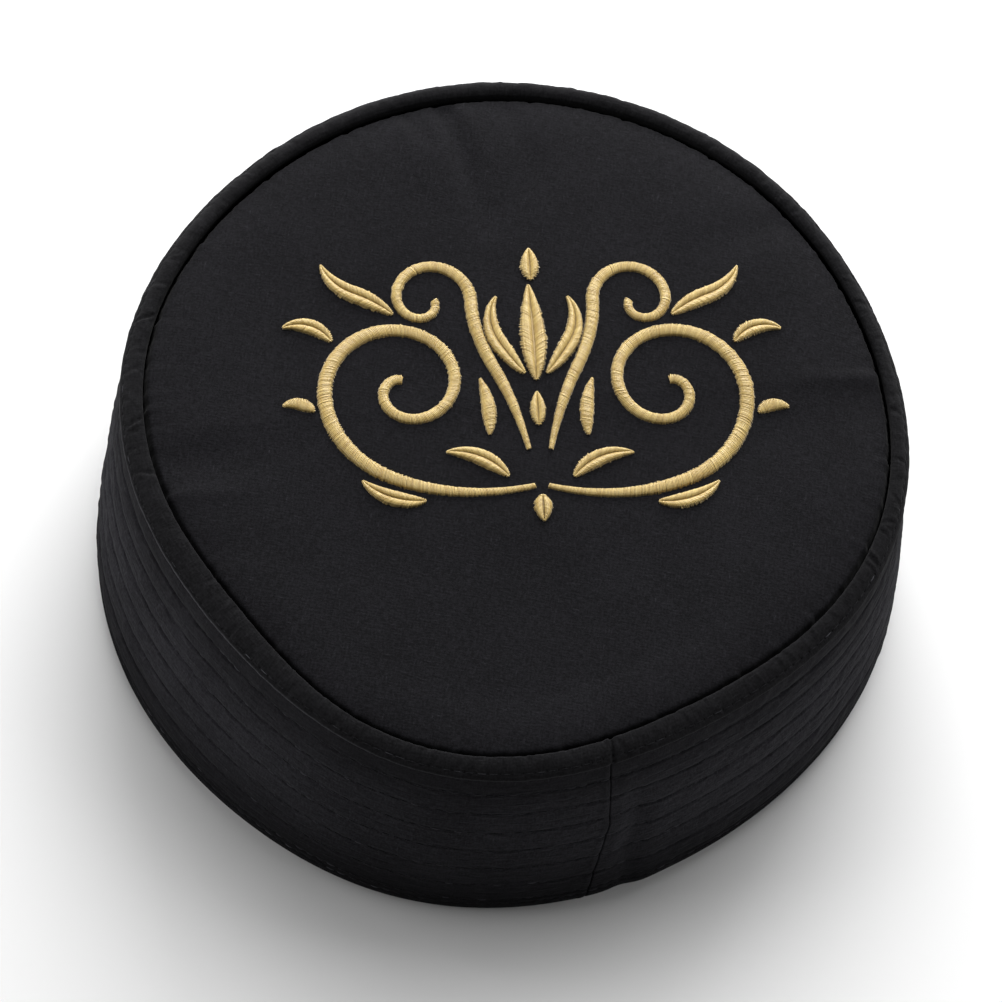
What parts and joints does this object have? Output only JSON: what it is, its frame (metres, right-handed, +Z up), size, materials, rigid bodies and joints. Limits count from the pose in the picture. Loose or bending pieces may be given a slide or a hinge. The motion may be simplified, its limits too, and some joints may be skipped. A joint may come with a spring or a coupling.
{
  "type": "kufi",
  "caption": "Round flat-topped cloth kufi with a stiff stitched side band, a folded strip round the top edge and a gold embroidered scroll ornament on the crown.",
  "frame": {"origin": "middle of the cap's outline, on the surface that its hem rests on", "axes": "+Z up through the crown, +Y towards the far side, -Y towards the side with the band's upright seam, +X to the right of a viewer who looks along +Y"},
  "size_m": [0.1939, 0.1939, 0.0741],
  "materials": {
    "band_cotton": "matt black cotton twill over stiffening, quilted by rows of black machine stitching",
    "strip_cotton": "matt black cotton, folded and slightly puckered",
    "crown_cotton": "matt black cotton with a fine weave and soft creases",
    "gold_thread": "gold rayon thread in raised satin stitch, with a soft sheen"
  },
  "bodies": {
    "root": {"side_band": "band_cotton", "rim_strip": "strip_cotton", "crown": "crown_cotton", "lower_scroll_right": "gold_thread", "lower_scroll_left": "gold_thread", "upper_scroll_right": "gold_thread", "upper_scroll_left": "gold_thread", "rising_leaf_right": "gold_thread", "rising_leaf_left": "gold_thread", "side_leaf_right": "gold_thread", "side_leaf_left": "gold_thread", "tip_leaf_right": "gold_thread", "tip_leaf_left": "gold_thread", "foot_leaf_right": "gold_thread", "foot_leaf_left": "gold_thread", "root_leaf_right": "gold_thread", "root_leaf_left": "gold_thread", "stem_leaf_right": "gold_thread", "stem_leaf_left": "gold_thread", "side_petal_right": "gold_thread", "side_petal_left": "gold_thread", "centre_petal": "gold_thread", "crest_bud": "gold_thread", "throat_bud": "gold_thread", "root_bud": "gold_thread"}
  },
  "joints": []
}
